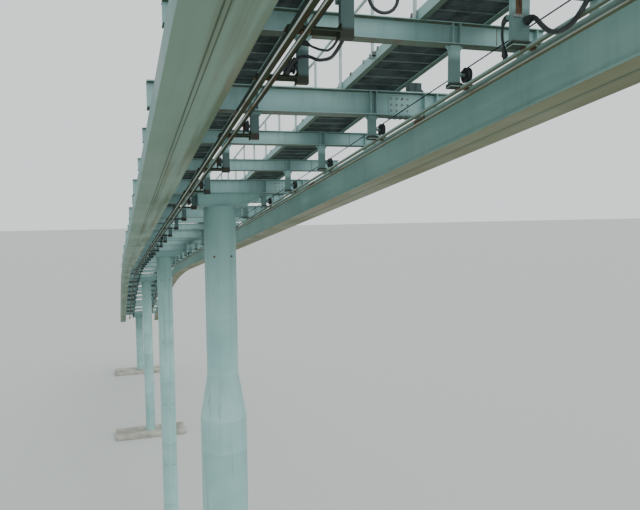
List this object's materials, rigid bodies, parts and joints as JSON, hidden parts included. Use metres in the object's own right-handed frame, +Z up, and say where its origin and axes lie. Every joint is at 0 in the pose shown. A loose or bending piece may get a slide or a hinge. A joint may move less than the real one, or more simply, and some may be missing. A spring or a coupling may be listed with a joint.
{
  "type": "suspended monorail guideway, 1:2 scale model",
  "caption": "Twin box-girder guideway of a hanging, rope-hauled railway on a row of single round columns, with cross-beams, walkways, hanger posts, rails, ropes and turning sheaves.",
  "frame": {"origin": "on the underside of column 1's footing, straight below the guideway's centre line", "axes": "+X runs downhill along the guideway, +Y to its left when looking downhill, +Z up"},
  "size_m": [39.75, 3, 12.0778],
  "materials": {
    "girder_paint": "weathered satin, rust and dirt stained below",
    "column_paint": "satin, chalked",
    "deck_paint": "weathered satin",
    "galvanised_grating": "dull galvanised",
    "handrail_paint": "satin",
    "rusted_steel": "rust brown, worn bright in places",
    "wire_rope": "greased",
    "sheave_steel": "dark, greased",
    "hose_rubber": "matt black",
    "concrete": "cast concrete, bare"
  },
  "bodies": {
    "root": {"girder_left_1": "girder_paint", "girder_left_2": "girder_paint", "girder_left_3": "girder_paint", "girder_left_4": "girder_paint", "girder_right_1": "girder_paint", "girder_right_2": "girder_paint", "girder_right_3": "girder_paint", "girder_right_4": "girder_paint", "deck_frame_1": "deck_paint", "deck_frame_2": "deck_paint", "deck_frame_3": "deck_paint", "deck_frame_4": "deck_paint", "walkway_left_1": "galvanised_grating", "walkway_left_2": "galvanised_grating", "walkway_right_1": "galvanised_grating", "walkway_right_2": "galvanised_grating", "handrail_left_1": "handrail_paint", "handrail_left_2": "handrail_paint", "handrail_right_1": "handrail_paint", "handrail_right_2": "handrail_paint", "rail_pair_left_1": "rusted_steel", "rail_pair_left_2": "rusted_steel", "rail_pair_right_1": "rusted_steel", "rail_pair_right_2": "rusted_steel", "rope_left": "wire_rope", "rope_right": "wire_rope", "column_1": "column_paint", "column_2": "column_paint", "column_3": "column_paint", "column_4": "column_paint", "hose_right": "hose_rubber", "cable_right": "hose_rubber", "hose_left_high": "hose_rubber", "hose_left_low": "hose_rubber", "hose_middle": "hose_rubber", "footing_1": "concrete", "footing_2": "concrete", "footing_3": "concrete", "footing_4": "concrete"},
    "sheave_left_1": {"sheave_left_1": "sheave_steel"},
    "sheave_left_2": {"sheave_left_2": "sheave_steel"},
    "sheave_left_3": {"sheave_left_3": "sheave_steel"},
    "sheave_left_4": {"sheave_left_4": "sheave_steel"},
    "sheave_left_5": {"sheave_left_5": "sheave_steel"},
    "sheave_left_6": {"sheave_left_6": "sheave_steel"},
    "sheave_left_7": {"sheave_left_7": "sheave_steel"},
    "sheave_left_8": {"sheave_left_8": "sheave_steel"},
    "sheave_left_9": {"sheave_left_9": "sheave_steel"},
    "sheave_left_10": {"sheave_left_10": "sheave_steel"},
    "sheave_right_1": {"sheave_right_1": "sheave_steel"},
    "sheave_right_2": {"sheave_right_2": "sheave_steel"},
    "sheave_right_3": {"sheave_right_3": "sheave_steel"},
    "sheave_right_4": {"sheave_right_4": "sheave_steel"},
    "sheave_right_5": {"sheave_right_5": "sheave_steel"},
    "sheave_right_6": {"sheave_right_6": "sheave_steel"},
    "sheave_right_7": {"sheave_right_7": "sheave_steel"},
    "sheave_right_8": {"sheave_right_8": "sheave_steel"},
    "sheave_right_9": {"sheave_right_9": "sheave_steel"},
    "sheave_right_10": {"sheave_right_10": "sheave_steel"}
  },
  "joints": [
    {"name": "sheave_left_1_spin", "type": "hinge", "parent": "root", "child": "sheave_left_1", "pos_m": [-5, 0.45, 11.11558], "axis": [0, 1, 0], "continuous": true},
    {"name": "sheave_left_2_spin", "type": "hinge", "parent": "root", "child": "sheave_left_2", "pos_m": [-3.75, 0.45, 10.93589], "axis": [0, 1, 0], "continuous": true},
    {"name": "sheave_left_3_spin", "type": "hinge", "parent": "root", "child": "sheave_left_3", "pos_m": [-2.5, 0.45, 10.7562], "axis": [0, 1, 0], "continuous": true},
    {"name": "sheave_left_4_spin", "type": "hinge", "parent": "root", "child": "sheave_left_4", "pos_m": [-1.25, 0.45, 10.57651], "axis": [0, 1, 0], "continuous": true},
    {"name": "sheave_left_5_spin", "type": "hinge", "parent": "root", "child": "sheave_left_5", "pos_m": [0, 0.45, 10.39683], "axis": [0, 1, 0], "continuous": true},
    {"name": "sheave_left_6_spin", "type": "hinge", "parent": "root", "child": "sheave_left_6", "pos_m": [5, 0.45, 9.67808], "axis": [0, 1, 0], "continuous": true},
    {"name": "sheave_left_7_spin", "type": "hinge", "parent": "root", "child": "sheave_left_7", "pos_m": [10, 0.45, 8.95933], "axis": [0, 1, 0], "continuous": true},
    {"name": "sheave_left_8_spin", "type": "hinge", "parent": "root", "child": "sheave_left_8", "pos_m": [15, 0.45, 8.23427], "axis": [0, 1, 0], "continuous": true},
    {"name": "sheave_left_9_spin", "type": "hinge", "parent": "root", "child": "sheave_left_9", "pos_m": [21.25, 0.45, 6.96011], "axis": [0, 1, 0], "continuous": true},
    {"name": "sheave_left_10_spin", "type": "hinge", "parent": "root", "child": "sheave_left_10", "pos_m": [26.25, 0.45, 5.49691], "axis": [0, 1, 0], "continuous": true},
    {"name": "sheave_right_1_spin", "type": "hinge", "parent": "root", "child": "sheave_right_1", "pos_m": [-5, -0.6, 11.11558], "axis": [0, 1, 0], "continuous": true},
    {"name": "sheave_right_2_spin", "type": "hinge", "parent": "root", "child": "sheave_right_2", "pos_m": [-3.75, -0.6, 10.93589], "axis": [0, 1, 0], "continuous": true},
    {"name": "sheave_right_3_spin", "type": "hinge", "parent": "root", "child": "sheave_right_3", "pos_m": [-2.5, -0.6, 10.7562], "axis": [0, 1, 0], "continuous": true},
    {"name": "sheave_right_4_spin", "type": "hinge", "parent": "root", "child": "sheave_right_4", "pos_m": [-1.25, -0.6, 10.57651], "axis": [0, 1, 0], "continuous": true},
    {"name": "sheave_right_5_spin", "type": "hinge", "parent": "root", "child": "sheave_right_5", "pos_m": [0, -0.6, 10.39683], "axis": [0, 1, 0], "continuous": true},
    {"name": "sheave_right_6_spin", "type": "hinge", "parent": "root", "child": "sheave_right_6", "pos_m": [5, -0.6, 9.67808], "axis": [0, 1, 0], "continuous": true},
    {"name": "sheave_right_7_spin", "type": "hinge", "parent": "root", "child": "sheave_right_7", "pos_m": [10, -0.6, 8.95933], "axis": [0, 1, 0], "continuous": true},
    {"name": "sheave_right_8_spin", "type": "hinge", "parent": "root", "child": "sheave_right_8", "pos_m": [15, -0.6, 8.23427], "axis": [0, 1, 0], "continuous": true},
    {"name": "sheave_right_9_spin", "type": "hinge", "parent": "root", "child": "sheave_right_9", "pos_m": [21.25, -0.6, 6.96011], "axis": [0, 1, 0], "continuous": true},
    {"name": "sheave_right_10_spin", "type": "hinge", "parent": "root", "child": "sheave_right_10", "pos_m": [26.25, -0.6, 5.49691], "axis": [0, 1, 0], "continuous": true}
  ]
}
